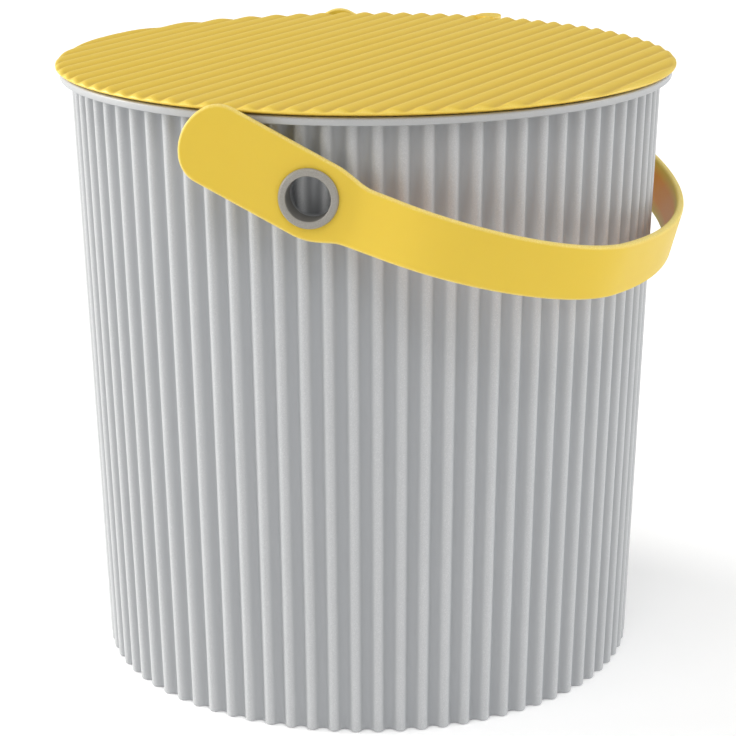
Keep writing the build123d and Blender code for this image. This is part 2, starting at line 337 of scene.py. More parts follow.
@dataclass(frozen=True)
class MouldedPlastic:
    """A coloured moulded plastic with a fine grain."""

    name: str
    body: Colour
    body_varied: Colour
    # Pale colour: painted highlights, and rubbed wear on the rim top; dark colour: painted shade in hollows.
    rubbed: Colour
    hollow: Colour
    roughness: float = 0.42
    roughness_spread: float = 0.1
    grain_scale: float = 2600.0
    grain_depth: float = 0.06
    cloud_scale: float = 22.0
    scatter: float = 0.0
    scatter_reach: Point = (0.004, 0.003, 0.001)
    sheen_level: float = 0.5
    bend_of_light: float = 1.49
    grain_height: float = 0.4 * MM

    def material(self, grain: bpy.types.NodeTree, edges: bpy.types.NodeTree) -> bpy.types.Material:
        """Builds the material.

        Args:
            grain: the moulded grain group.
            edges: the group of painted shade, highlights and wear.

        Returns:
            The node-based material.
        """
        made = bpy.data.materials.new(self.name)
        made.use_nodes = True
        nodes, links = made.node_tree.nodes, made.node_tree.links
        shader = nodes["Principled BSDF"]
        shader.inputs["IOR"].default_value = self.bend_of_light
        shader.inputs["Specular IOR Level"].default_value = self.sheen_level
        shader.inputs["Subsurface Weight"].default_value = self.scatter
        shader.inputs["Subsurface Radius"].default_value = self.scatter_reach
        surface = nodes.new("ShaderNodeGroup")
        surface.node_tree = grain
        surface.inputs["Grain Scale"].default_value = self.grain_scale
        surface.inputs["Cloud Scale"].default_value = self.cloud_scale
        # Mixes in painted highlights, rubbed wear and painted shade from each mesh's mask.
        shade_highlight_wear = nodes.new("ShaderNodeGroup")
        shade_highlight_wear.node_tree = edges
        shade_highlight_wear.inputs["Rubbed"].default_value = self.rubbed
        shade_highlight_wear.inputs["Hollow"].default_value = self.hollow
        tint = nodes.new("ShaderNodeMix")
        tint.data_type = "RGBA"
        tint.inputs[MIX_A].default_value = self.body
        tint.inputs[MIX_B].default_value = self.body_varied
        gloss = nodes.new("ShaderNodeMapRange")
        gloss.inputs["To Min"].default_value = self.roughness - self.roughness_spread
        gloss.inputs["To Max"].default_value = self.roughness + self.roughness_spread
        bump = nodes.new("ShaderNodeBump")
        bump.inputs["Strength"].default_value = self.grain_depth
        bump.inputs["Distance"].default_value = self.grain_height
        links.new(surface.outputs["Cloud"], tint.inputs[0])
        links.new(surface.outputs["Cloud"], gloss.inputs["Value"])
        links.new(surface.outputs["Speckle"], shade_highlight_wear.inputs["Break Up"])
        links.new(tint.outputs[MIX_OUT], shade_highlight_wear.inputs["Body"])
        links.new(shade_highlight_wear.outputs["Color"], shader.inputs["Base Color"])
        links.new(gloss.outputs["Result"], shader.inputs["Roughness"])
        links.new(surface.outputs["Height"], bump.inputs["Height"])
        links.new(bump.outputs["Normal"], shader.inputs["Normal"])
        return made


# Wall grey: the pale colour is a painted highlight on the rib crests and rubbed wear on the rim top; the
# dark colour is painted shade in the rib valleys.
GREY_WALL = MouldedPlastic(
    name="grey moulded wall",
    body=(0.425, 0.435, 0.446, 1.0),
    body_varied=(0.395, 0.405, 0.417, 1.0),
    rubbed=(0.565, 0.57, 0.575, 1.0),
    hollow=(0.333, 0.343, 0.357, 1.0),
    roughness=0.38,
)
# Collar grey with a warm tint that is painted yellow bounce light from the handle; the pale colour is a
# painted highlight on the flange face, the dark colour painted shade in the bore and on the shank.
GREY_COLLAR = MouldedPlastic(
    name="grey collar with painted warm bounce",
    body=(0.245, 0.23, 0.202, 1.0),
    body_varied=(0.223, 0.209, 0.184, 1.0),
    rubbed=(0.37, 0.35, 0.315, 1.0),
    hollow=(0.155, 0.146, 0.13, 1.0),
    roughness=0.36,
)
# Lid yellow: the pale colour is a painted highlight on the rib crests, the rolled edge and the finger tab's
# edges; the dark colour is painted shade in the rib valleys.
YELLOW_LID = MouldedPlastic(
    name="yellow ribbed lid",
    body=(0.785, 0.552, 0.07, 1.0),
    body_varied=(0.75, 0.522, 0.061, 1.0),
    rubbed=(0.90, 0.74, 0.20, 1.0),
    hollow=(0.52, 0.32, 0.025, 1.0),
    roughness=0.42,
    scatter=0.08,
    sheen_level=0.4,
)
# Strap yellow: the pale colour is a painted highlight along the strap's edges; the deep orange is painted
# shade on the strap's inner face.
YELLOW_STRAP = MouldedPlastic(
    name="yellow strap handle",
    body=(0.735, 0.527, 0.069, 1.0),
    body_varied=(0.705, 0.5, 0.06, 1.0),
    rubbed=(0.92, 0.80, 0.36, 1.0),
    hollow=(0.84, 0.27, 0.002, 1.0),
    roughness=0.45,
    scatter=0.25,
    sheen_level=0.12,
)


@dataclass
class RibWave:
    """Closed wave of upright ribs, made of tangent crest and valley bends."""

    foot_crest_r: float = 116.0 * MM
    top_crest_r: float = 123.7 * MM
    taper_height: float = 251.4 * MM
    depth: float = 2.9 * MM
    count: int = 80
    first_crest: float = 92.25
    bend_steps: int = 7
    # Mask values across a rib: painted highlight on the crests, painted shade in the valleys.
    flank_tone: float = 0.55
    crest_highlight: float = 0.95
    valley_shade: float = 0.1

    def crest_radius(self, z: float) -> float:
        """Radius over the crests at height z."""
        return self.foot_crest_r + (self.top_crest_r - self.foot_crest_r) * z / self.taper_height

    def section(self, z: float, inset: float = 0.0) -> tuple[list[Point], list[float]]:
        """One level of the wave.

        Args:
            z: its height.
            inset: how far inside the outer surface it runs.

        Returns:
            Its points and their mask values: painted highlight on the crests, painted shade in the valleys.
        """
        crest_r = self.crest_radius(z)
        valley_r = crest_r - self.depth
        half_pitch = 180.0 / self.count
        cosine = math.cos(math.radians(half_pitch))
        a = 2.0 * cosine - 2.0
        b = -2.0 * self.depth * (1.0 + cosine)
        c = crest_r**2 + valley_r**2 - 2.0 * crest_r * valley_r * cosine
        bend_r = (-b - math.sqrt(b * b - 4.0 * a * c)) / (2.0 * a)
        crest_centre = Vector((crest_r - bend_r, 0.0))
        valley_centre = Vector(polar(valley_r + bend_r, half_pitch))
        across = valley_centre - crest_centre
        turn = math.degrees(math.atan2(across.y, across.x))
        rib: list[Vector] = []
        painted_light_and_wear: list[float] = []
        for step in range(self.bend_steps):
            share = 2.0 * step / self.bend_steps - 1.0
            rib.append(crest_centre + Vector(polar(bend_r - inset, turn * share)))
            painted_light_and_wear.append(self.flank_tone
                        + (self.crest_highlight - self.flank_tone) * math.cos(math.pi * share / 2.0))
        for step in range(self.bend_steps):
            share = 1.0 - 2.0 * step / self.bend_steps
            swing = 180.0 + half_pitch + (turn - half_pitch) * share
            rib.append(valley_centre + Vector(polar(bend_r + inset, swing)))
            painted_light_and_wear.append(self.flank_tone
                        - (self.flank_tone - self.valley_shade) * math.cos(math.pi * share / 2.0))
        points = []
        for index in range(self.count):
            spin = Matrix.Rotation(math.radians(self.first_crest + 2.0 * half_pitch * index), 2)
            points += [(*(spin @ point), z) for point in rib]
        return points, painted_light_and_wear * self.count

    def surface_radius(self, z: float, degrees: float) -> float:
        """Radius of the outer surface.

        Args:
            z: height.
            degrees: angle about the bucket's axis.

        Returns:
            The radius.
        """
        points = np.array(self.section(z)[0])
        angles = np.degrees(np.arctan2(points[:, 1], points[:, 0])) % 360.0
        order = np.argsort(angles)
        radii = np.hypot(points[:, 0], points[:, 1])
        return float(np.interp(degrees % 360.0, angles[order], radii[order], period=360.0))


@dataclass
class Bucket:
    """The grey bucket: ribbed wall, floor, foot, rim and pivot tubes."""

    wave: RibWave = field(default_factory=RibWave)
    wall: float = 2.0 * MM
    floor: float = 2.5 * MM
    recess: float = 3.0 * MM
    recess_step: float = 5.2 * MM
    foot_round: float = 1.1 * MM
    rim_r: float = 128.3 * MM
    rim_low_z: float = 251.4 * MM
    rim_height: float = 3.1 * MM
    rim_lip: float = 1.8 * MM
    rim_plate: float = 1.6 * MM
    rim_round: float = 0.9 * MM
    mouth_step: float = 0.3 * MM
    rim_wear: float = 0.8
    rubbed_rim: float = 0.6
    pivot_z: float = 225.0 * MM
    tube_r: float = 13.25 * MM
    seat_r: float = 10.05 * MM
    hollow_r: float = 8.5 * MM
    tube_face: float = 128.7 * MM
    seat_depth: float = 4.2 * MM
    sunk_share: float = 0.6
    foot_steps: int = 5
    wall_levels: tuple[float, ...] = (0.04, 0.2, 0.5, 0.8, 0.96, 1.0)
    inside_levels: tuple[float, ...] = (0.7, 0.35, 0.05)
    recess_edge: float = 0.5 * MM
    segments: int = 360
    tube_segments: int = 96
    wall_crease: float = 60.0

    @property
    def wall_top_z(self) -> float:
        """Height where the wall meets the rim."""
        return self.rim_low_z + self.rim_height - self.rim_plate

    @property
    def mouth_r(self) -> float:
        """Radius of the smooth mouth."""
        return self.wave.crest_radius(self.wall_top_z) - self.wave.depth - self.wall - self.mouth_step

    def ribbed_shell(self) -> Sketch:
        """Wall, foot, underside and floor as one skin.

        Returns:
            The drawn skin.
        """
        sketch = Sketch()
        rows = []
        for step in range(self.foot_steps + 1):
            turn = math.radians(90.0 * step / self.foot_steps)
            inset = self.foot_round * (1.0 - math.sin(turn))
            height = self.foot_round * (1.0 - math.cos(turn))
            rows.append(sketch.row(*self.wave.section(height, inset)))
        for level in self.wall_levels:
            rows.append(sketch.row(*self.wave.section(level * self.wall_top_z)))
        for low, high in zip(rows, rows[1:]):
            sketch.bridge(low, high)
        inside = [sketch.row(*self.wave.section(self.wall_top_z, self.wall))]
        for level in self.inside_levels:
            inside.append(sketch.row(*self.wave.section(level * self.wall_top_z, self.wall)))
        floor_z = self.recess + self.floor
        inside.append(sketch.row(*self.wave.section(floor_z, self.wall)))
        for high, low in zip([rows[-1], *inside], inside):
            sketch.bridge(high, low)
        sketch.fan(inside[-1], (0.0, 0.0, floor_z))
        count = len(rows[0])
        start = math.radians(self.wave.first_crest) - math.pi * self.wave.bend_steps / count
        recess_r = self.wave.foot_crest_r - self.recess_step
        under = [rows[0]]
        steps = ((recess_r + self.recess_edge, 0.0), (recess_r, self.recess_edge), (recess_r, self.recess))
        for radius, height in steps:
            ring = [about_z(radius, start + 2.0 * math.pi * index / count, height)
                    for index in range(count)]
            under.append(sketch.row(ring))
        for outer, inner in zip(under, under[1:]):
            sketch.bridge(outer, inner)
        sketch.fan(under[-1], (0.0, 0.0, self.recess))
        return sketch

    def rim_ring(self) -> Sketch:
        """Flat ring over the wall's end, with its lip turned down.

        Returns:
            The drawn ring.
        """
        top = self.rim_low_z + self.rim_height
        lip_r = self.rim_r - self.rim_lip
        profile = round_corners([
            (self.mouth_r, self.wall_top_z, 0.3 * MM),
            (lip_r, self.wall_top_z, 0.3 * MM),
            (lip_r, self.rim_low_z, 0.5 * MM),
            (self.rim_r, self.rim_low_z, 0.6 * MM),
            (self.rim_r, top, self.rim_round),
            (self.mouth_r, top, 0.6 * MM),
        ])
        upper = self.rim_low_z + self.rubbed_rim * self.rim_height
        painted_light_and_wear = [self.rim_wear if height > upper else PLAIN_BODY_TONE for _, height in profile]
        sketch = Sketch()
        sketch.turned(profile, about_z, self.segments, painted_light_and_wear)
        return sketch

    def pivot_tube(self, side: Side) -> Sketch:
        """Tube that stands out of the ribbed wall and takes a collar.

        Args:
            side: the front or the back one.

        Returns:
            The drawn tube.
        """
        shoulder = self.tube_face - self.seat_depth
        profile = round_corners([
            (self.hollow_r, 0.0, 0.0),
            (self.hollow_r, shoulder, 0.2 * MM),
            (self.seat_r, shoulder, 0.1 * MM),
            (self.seat_r, self.tube_face, 0.3 * MM),
            (self.tube_r, self.tube_face, 0.6 * MM),
            (self.tube_r, 0.0, 0.0),
        ])
        lined = {}

        def place(radius: float, turn: float, height: float) -> Point:
            """Place on the tube, whose inner end is sunk in the wall.

            Args:
                radius: distance from the tube's axis.
                turn: angle about that axis.
                height: distance from the bucket's axis, or 0 at the inner end.

            Returns:
                The place.
            """
            x, lift = radius * math.cos(turn), radius * math.sin(turn)
            if height == 0.0:
                key = (round(x, 7), round(lift, 7))
                if key not in lined:
                    degrees = 90.0 - math.degrees(math.asin(x / self.tube_face))
                    skin = self.wave.surface_radius(self.pivot_z + lift, degrees)
                    lined[key] = math.sqrt(skin**2 - x**2) - self.sunk_share * self.wall
                height = lined[key]
            return x, side.value * height, self.pivot_z + lift

        sketch = Sketch()
        sketch.turned(profile, place, self.tube_segments)
        return sketch

    def build(self, finish: bpy.types.Material) -> list[bpy.types.Object]:
        """Makes the bucket's pieces.

        Args:
            finish: the grey plastic.

        Returns:
            The pieces, riding on the bucket's body.
        """
        made = [self.ribbed_shell().piece("bucket_wall", finish, self.wall_crease),
                self.rim_ring().piece("bucket_rim", finish)]
        for side in Side:
            name = f"bucket_pivot_tube_{side.name.lower()}"
            made.append(self.pivot_tube(side).piece(name, finish))
        for piece in made:
            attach(piece, "bucket_body")
            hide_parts("bucket")
        return made


@dataclass
class PivotCollars:
    """The two hollow flanged collars that carry the handle."""

    pivot_z: float = 225.0 * MM
    hollow_r: float = 8.5 * MM
    shank_r: float = 10.0 * MM
    flange_r: float = 11.5 * MM
    seat_y: float = 124.55 * MM
    flange_y: float = 132.5 * MM
    face_y: float = 134.1 * MM
    flange_margin: float = 0.6 * MM
    bore_margin: float = 0.1 * MM
    # Mask values: painted shade in the bore and on the shank, a painted highlight on the flange face.
    bore_shade: float = 0.15
    shank_shade: float = 0.4
    face_highlight: float = 0.85
    segments: int = 96

    def collar(self, side: Side) -> Sketch:
        """One collar.

        Args:
            side: the front or the back one.

        Returns:
            The drawn collar.
        """
        profile = round_corners([
            (self.hollow_r, self.seat_y, 0.2 * MM),
            (self.shank_r, self.seat_y, 0.4 * MM),
            (self.shank_r, self.flange_y, 0.0),
            (self.flange_r, self.flange_y, 0.2 * MM),
            (self.flange_r, self.face_y, 1.25 * MM),
            (self.hollow_r, self.face_y, 0.7 * MM),
        ])
        # Painted shade in the bore and on the shank, painted highlight on the flange face.
        painted_light_and_wear = []
        for radius, height in profile:
            on_flange = height > self.flange_y + self.flange_margin
            in_bore = radius < self.hollow_r + self.bore_margin
            outside = self.face_highlight if on_flange else self.shank_shade
            painted_light_and_wear.append(self.bore_shade if in_bore else outside)
        sketch = Sketch()
        sketch.turned(
            profile,
            lambda radius, turn, height: (radius * math.cos(turn), side.value * height,
                                          self.pivot_z + radius * math.sin(turn)),
            self.segments, painted_light_and_wear,
        )
        return sketch

    def build(self, finish: bpy.types.Material) -> list[bpy.types.Object]:
        """Makes both collars.

        Args:
            finish: the warm grey plastic.

        Returns:
            The pieces, riding on the bucket's body.
        """
        made = []
        for side in Side:
            end = side.name.lower()
            piece = self.collar(side).piece(f"collar_{end}", finish)
            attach(piece, "bucket_body")
            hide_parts(f"pivot_collar_{end}")
            made.append(piece)
        return made


@dataclass
class Lid:
    """The yellow plate lid: parallel ribs, rounded edge, finger tab and plug."""

    radius: float = 130.0 * MM
    under_z: float = 255.8 * MM
    plate: float = 1.0 * MM
    rib_height: float = 1.5 * MM
    rib_pitch: float = 8.5 * MM
    edge_roll: float = 4.6 * MM
    edge_height: float = 0.6 * MM
    turn: float = 71.5
    rib_steps: int = 12
    roll_turn: int = 9
    edge_stations: tuple[float, ...] = (0.0, 0.02 * MM, 0.08 * MM, 0.2 * MM, 0.4 * MM)
    # Mask values: painted shade in the rib valleys, a painted highlight on the crests and the rolled edge.
    valley_shade: float = 0.3
    crest_highlight_gain: float = 0.35
    edge_highlight_gain: float = 0.5
    highlight_share: float = 0.4
    tab_width: float = 11.0 * MM
    tab_shift: float = 3.0 * MM
    tab_reach: float = 6.5 * MM
    tab_thickness: float = 2.5 * MM
    tab_round: float = 0.7 * MM
    tab_corner_share: float = 0.45
    tab_highlight_gain: float = 0.3
    tab_turn: int = 15
    seat_out: float = 126.5 * MM
    seat_width: float = 4.0 * MM
    seat_step: float = 1.0 * MM
    plug_r: float = 117.74 * MM
    plug_wall: float = 1.6 * MM
    plug_depth: float = 9.0 * MM
    stiffener_width: float = 1.4 * MM
    stiffener_depth: float = 3.0 * MM
    spokes: int = 8
    spoke_round: float = 0.3 * MM
    segments: int = 360
    top_crease: float = 35.0

    @property
    def top_z(self) -> float:
        """Height of the rib tops."""
        return self.under_z + self.plate + self.rib_height

    def rib_top(self, across: float, inwards: float) -> float:
        """Height of the softly waved surface, which rolls down towards the lid's edge.

        Args:
            across: place across the ribs.
            inwards: distance in from the edge.

        Returns:
            The height.
        """
        share = min(inwards / self.edge_roll, 1.0)
        roll = math.sqrt(1.0 - (1.0 - share) ** 2)
        wave = 0.5 + 0.5 * math.cos(2.0 * math.pi * across / self.rib_pitch)
        flat = self.edge_height + (self.plate - self.edge_height) * roll
        return self.under_z + flat + self.rib_height * roll * wave

    def ribbed_top(self, sketch: Sketch) -> None:
        """Draws the ribbed top in strips along the ribs, closed by a flat underside.

        Args:
            sketch: what to draw in.
        """
        step = self.rib_pitch / self.rib_steps
        count = int(self.radius / step)
        stations = [index * step for index in range(-count, count + 1)]
        for inwards in self.edge_stations:
            stations += [self.radius - inwards, inwards - self.radius]
        insets = [self.edge_roll * (1.0 - math.cos(math.radians(angle)))
                  for angle in range(0, 91, self.roll_turn)]
        rows: list[list[int]] = []
        for across in sorted(set(round(station, 7) for station in stations)):
            near, far, painted_light_and_wear = [], [], []
            for inset in insets:
                reach = self.radius - inset
                inwards = inset
                along = 0.0
                if abs(across) < reach:
                    along = math.sqrt(reach**2 - across**2)
                else:
                    inwards = self.radius - abs(across)
                height = self.rib_top(across, inwards)
                near.append((-along, across, height))
                far.append((along, across, height))
                # Painted highlight grows towards the crests and the rolled edge; the valleys get painted
                # shade.
                crest = (height - self.top_z) / self.rib_height + 1.0
                rounding = max(1.0 - inwards / (self.highlight_share * self.edge_roll), 0.0)
                ridge = max(self.valley_shade + self.crest_highlight_gain * crest, 0.0)
                painted_light_and_wear.append(min(ridge + self.edge_highlight_gain * rounding, 1.0))
            rows.append(sketch.row(near + far[::-1], painted_light_and_wear + painted_light_and_wear[::-1]))
        for before, after in zip(rows, rows[1:]):
            sketch.bridge(before, after, closed=False)
        sketch.faces.append(tuple([row[0] for row in rows] + [row[-1] for row in rows[::-1]]))

    def underside(self, sketch: Sketch) -> None:
        """Draws the edge band, seat, plug skirt and stiffening ring.

        Args:
            sketch: what to draw in.
        """
        seat_z = self.under_z - self.seat_step
        plug_z = self.under_z - self.plug_depth
        plug_in = self.plug_r - self.plug_wall
        ring_r = self.plug_r / 2.0
        ring_z = self.under_z - self.stiffener_depth
        profile = round_corners([
            (0.0, self.under_z + self.edge_height, 0.0),
            (self.radius, self.under_z + self.edge_height, 0.0),
            (self.radius, self.under_z, 0.45 * MM),
            (self.seat_out, self.under_z, 0.2 * MM),
            (self.seat_out, seat_z, 0.2 * MM),
            (self.seat_out - self.seat_width, seat_z, 0.2 * MM),
            (self.seat_out - self.seat_width, self.under_z, 0.2 * MM),
            (self.plug_r, self.under_z, 0.4 * MM),
            (self.plug_r, plug_z, 0.6 * MM),
            (plug_in, plug_z, 0.6 * MM),
            (plug_in, self.under_z, 0.6 * MM),
            (ring_r, self.under_z, 0.4 * MM),
            (ring_r, ring_z, 0.3 * MM),
            (ring_r - self.stiffener_width, ring_z, 0.3 * MM),
            (ring_r - self.stiffener_width, self.under_z, 0.4 * MM),
            (0.0, self.under_z, 0.0),
        ], steps=4, closed=False)
        sketch.turned(profile, about_z, self.segments, closed=False)

    def spoke(self, sketch: Sketch, index: int) -> None:
        """Draws one stiffening spoke with its lower edge rounded.

        Args:
            sketch: what to draw in.
            index: which spoke.
        """
        half = self.stiffener_width / 2.0
        low = self.under_z - self.stiffener_depth
        high = self.under_z + self.spoke_round
        section = round_corners([(-half, high, 0.0), (-half, low, self.spoke_round),
                                 (half, low, self.spoke_round), (half, high, 0.0)], steps=3)
        spin = Matrix.Rotation(2.0 * math.pi * index / self.spokes, 3, "Z")
        inner = self.plug_r / 2.0 - half
        outer = self.plug_r - self.plug_wall / 2.0
        rows = [sketch.row([spin @ Vector((reach, across, height)) for across, height in section])
                for reach in (inner, outer)]
        sketch.bridge(rows[0], rows[1])
        sketch.faces += [tuple(row) for row in rows]

    def finger_tab(self, sketch: Sketch) -> None:
        """Draws the small rounded finger tab at the end of the middle ribs.

        Args:
            sketch: what to draw in.
        """
        half = self.tab_width / 2.0
        corner = self.tab_corner_share * self.tab_width
        rows = []
        low, high = self.under_z, self.under_z + self.tab_thickness
        for angle in range(-90, 91, self.tab_turn):
            turn = math.radians(angle)
            inset = self.tab_round * (1.0 - math.cos(turn))
            level = low + self.tab_round if angle < 0 else high - self.tab_round
            reach = self.radius + self.tab_reach - inset
            outline = round_corners([
                (self.radius - self.tab_reach, -half + inset, 0.0),
                (reach, -half + inset, corner - inset),
                (reach, half - inset, corner - inset),
                (self.radius - self.tab_reach, half - inset, 0.0),
            ], steps=10)
            height = level + self.tab_round * math.sin(turn)
            # Painted highlight along the tab's rounded edges.
            painted_light_and_wear = PLAIN_BODY_TONE + self.tab_highlight_gain * math.cos(turn)
            rows.append(sketch.row([(x, y + self.tab_shift, height) for x, y in outline], painted_light_and_wear))
        for first, second in zip(rows, rows[1:]):
            sketch.bridge(first, second)
        sketch.faces += [tuple(rows[0]), tuple(rows[-1])]

    def build(self, finish: bpy.types.Material) -> list[bpy.types.Object]:
        """Makes the lid's pieces.

        Args:
            finish: the yellow plastic.

        Returns:
            The pieces, riding on the lid's body.
        """
        top = Sketch()
        self.ribbed_top(top)
        self.finger_tab(top)
        below = Sketch()
        self.underside(below)
        for index in range(self.spokes):
            self.spoke(below, index)
        made = [top.piece("lid_plate", finish, self.top_crease), below.piece("lid_plug", finish)]
        spin = Matrix.Rotation(math.radians(self.turn), 4, "Z")
        for piece in made:
            piece.data.transform(spin)
            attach(piece, "lid_body")
            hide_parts("lid")
        return made


@dataclass
class BailPath:
    """Line in plan along the middle of the strap, from the pivot to the middle of the bail."""

    face_y: float = 132.2 * MM
    thickness: float = 3.2 * MM
    reach: float = 137.9972 * MM
    half_width: float = 139.4 * MM
    corner_r: float = 72.4 * MM
    apex_r: float = 247.0 * MM
    knee_x: float = 16.1 * MM
    bend_r: float = 25.0 * MM

    def __post_init__(self) -> None:
        """Works out where the runs and bends meet."""
        middle = self.thickness / 2.0
        self.apex_x = self.reach - self.apex_r
        corner_y = self.half_width - self.corner_r
        corner_x = self.apex_x + math.sqrt((self.apex_r - self.corner_r) ** 2 - corner_y**2)
        self.corner = Vector((corner_x, corner_y))
        across = self.corner - Vector((self.knee_x, self.face_y))
        self.splay = math.atan2(across.y, across.x) + math.asin(self.corner_r / across.length)
        self.meet = math.atan2(self.corner.y, self.corner.x - self.apex_x)
        outwards = Vector((-math.sin(self.splay), math.cos(self.splay)))
        arm_end = self.corner + (self.corner_r - middle) * outwards
        tab_y = self.face_y - middle
        knee_x = arm_end.x - (arm_end.y - tab_y) / math.tan(self.splay)
        tangent = (self.bend_r + middle) * math.tan(self.splay / 2.0)
        self.bend_start = knee_x - tangent
        arm = (arm_end - Vector((knee_x, tab_y))).length - tangent
        bend = (self.bend_r + middle) * self.splay
        corner = (self.corner_r - middle) * (math.pi / 2.0 + self.splay - self.meet)
        apex = (self.apex_r - middle) * self.meet
        self.stops = list(np.cumsum([self.bend_start, bend, arm, corner, apex]))
        self.length = self.stops[-1]

    def at(self, run: float, out: float) -> Flat:
        """Place in plan.

        Args:
            run: distance along the path from the pivot.
            out: distance outwards from the strap's middle.

        Returns:
            The place, on the back half.
        """
        middle = self.thickness / 2.0
        tab_y = self.face_y - middle
        start, bend_end, arm_end, corner_end, _ = self.stops
        if run <= start:
            return run, tab_y + out
        if run <= bend_end:
            turn = (run - start) / (self.bend_r + middle)
            radius = self.bend_r + middle - out
            centre_y = tab_y + self.bend_r + middle
            return start + radius * math.sin(turn), centre_y - radius * math.cos(turn)
        if run <= arm_end:
            x, y = self.at(bend_end, out)
            return x + (run - bend_end) * math.cos(self.splay), y + (run - bend_end) * math.sin(self.splay)
        if run <= corner_end:
            turn = math.pi / 2.0 + self.splay - (run - arm_end) / (self.corner_r - middle)
            radius = self.corner_r - middle + out
            return self.corner.x + radius * math.cos(turn), self.corner.y + radius * math.sin(turn)
        turn = self.meet - (run - corner_end) / (self.apex_r - middle)
        radius = self.apex_r - middle + out
        return self.apex_x + radius * math.cos(turn), radius * math.sin(turn)


@dataclass
class Handle:
    """The yellow strap bail with its two wide tabs."""

    path: BailPath = field(default_factory=BailPath)
    pivot_z: float = 225.0 * MM
    droop: float = 15.0
    root_half: float = 12.1 * MM
    end_half: float = 10.3 * MM
    strap_drop: float = 2.0 * MM
    tab_half: float = 15.9 * MM
    tab_reach: float = 53.4 * MM
    tab_end_r: float = 18.9 * MM
    tab_corner: float = 11.8 * MM
    tab_tilt: float = 12.6
    shoulder_x: float = 5.9 * MM
    neck_x: float = 17.3 * MM
    shoulder_r: float = 24.0 * MM
    neck_r: float = 16.0 * MM
    hole_r: float = 10.08 * MM
    edge_round: float = 1.2 * MM
    hole_round: float = 0.3 * MM
    split_x: float = 12.2 * MM
    split_gap: float = 0.3 * MM
    strap_steps: int = 150
    fine_steps: int = 4000
    shoulder_steps: int = 14
    corner_steps: int = 10
    end_steps: int = 16
    hole_steps: int = 72
    face_lanes: int = 4
    edge_turn: int = 18
    hole_turn: int = 30
    # Mask values: painted shade on the strap's inner face, a painted highlight along its rounded edges.
    inner_shade: float = 0.05
    edge_highlight_gain: float = 0.45
    overrun: float = 1.3

    def tilted(self, along: float, across: float) -> Flat:
        """Side-view point from its place along and across the tab."""
        cosine, sine = polar(1.0, self.tab_tilt)
        return along * cosine + across * sine, across * cosine - along * sine

    def strap_level(self, x: float, side: int) -> float:
        """Height of the strap's upper or lower edge, which narrows towards the bail's end."""
        narrowing = (self.root_half - self.end_half) * x / self.path.reach
        return side * (self.root_half - narrowing) - self.strap_drop

    @property
    def end_x(self) -> float:
        """Place along the tab of the middle of its end arc."""
        return self.tab_end_r - self.tab_reach

    @property
    def corner_x(self) -> float:
        """Place along the tab of the middle of its corner arcs."""
        return self.end_x - math.sqrt((self.tab_end_r - self.tab_corner) ** 2
                                      - (self.tab_half - self.tab_corner) ** 2)

    def side_edge(self, side: int) -> list[Flat]:
        """Upper or lower edge of the side view.

        Args:
            side: 1 for the upper edge, -1 for the lower one.

        Returns:
            Points from the tab's corner to the strap.
        """
        neck = self.tilted(self.neck_x, side * self.root_half)[0]
        far = self.overrun * self.path.reach
        chain = [
            (*self.tilted(self.corner_x, side * self.tab_half), 0.0),
            (*self.tilted(self.shoulder_x, side * self.tab_half), self.shoulder_r),
            (neck, self.strap_level(neck, side), self.neck_r),
            (far, self.strap_level(far, side), 0.0),
        ]
        return round_corners(chain, steps=self.shoulder_steps, closed=False)

    def end_curve(self) -> list[Flat]:
        """Rounded end of the tab.

        Returns:
            Its points, from the lower corner to the upper one.
        """
        centre_x, centre_y = self.corner_x, self.tab_half - self.tab_corner
        lean = math.degrees(math.atan2(centre_y, self.end_x - centre_x))
        bend = (90.0 - lean) / self.corner_steps
        lower = [polar(self.tab_corner, -90.0 - step * bend) for step in range(self.corner_steps + 1)]
        tip = [polar(self.tab_end_r, 180.0 + lean - step * 2.0 * lean / self.end_steps)
               for step in range(1, self.end_steps)]
        upper = [polar(self.tab_corner, 180.0 - lean - step * bend) for step in range(self.corner_steps + 1)]
        points = [(centre_x + x, y - centre_y) for x, y in lower]
        points += [(self.end_x + x, y) for x, y in tip]
        points += [(centre_x + x, y + centre_y) for x, y in upper]
        return [self.tilted(x, y) for x, y in points]

    def outline(self) -> tuple[list[Flat], int]:
        """Side view laid out flat along the strap's run.

        Returns:
            Points from the lower edge's far end, round the tab, to the upper edge's far end, and how many
            of them at each end lie on the strap.
        """
        runs = np.linspace(0.0, self.path.length, self.fine_steps)
        places = np.array([self.path.at(run, 0.0)[0] for run in runs])
        stations = np.linspace(self.split_x, self.path.length, self.strap_steps)
        edges = {}
        tabs = {}
        for side in (-1, 1):
            chain = np.array(self.side_edge(side))
            at_x = np.interp(stations, runs, places)
            levels = np.interp(at_x, chain[:, 0], chain[:, 1])
            edges[side] = [(run, float(level)) for run, level in zip(stations, levels)]
            tab_end = self.split_x - self.split_gap
            tabs[side] = [tuple(point) for point in self.side_edge(side)[1:] if point[0] < tab_end]
        chain = edges[-1][::-1] + tabs[-1][::-1] + self.end_curve() + tabs[1] + edges[1]
        return chain, len(stations)

    def inset_chain(self, chain: list[Flat], inset: float) -> list[Flat]:
        """Moves an open outline inwards.

        Args:
            chain: the outline's points.
            inset: how far in.

        Returns:
            The moved points, with the two ends kept on their line.
        """
        points = np.array(chain)
        along = np.gradient(points, axis=0)
        along[0] = points[1] - points[0]
        along[-1] = points[-1] - points[-2]
        along /= np.linalg.norm(along, axis=1)[:, None]
        inwards = np.stack([along[:, 1], -along[:, 0]], axis=1)
        moved = points + inset * inwards
        moved[0, 0] = points[0, 0]
        moved[-1, 0] = points[-1, 0]
        return [tuple(point) for point in moved]

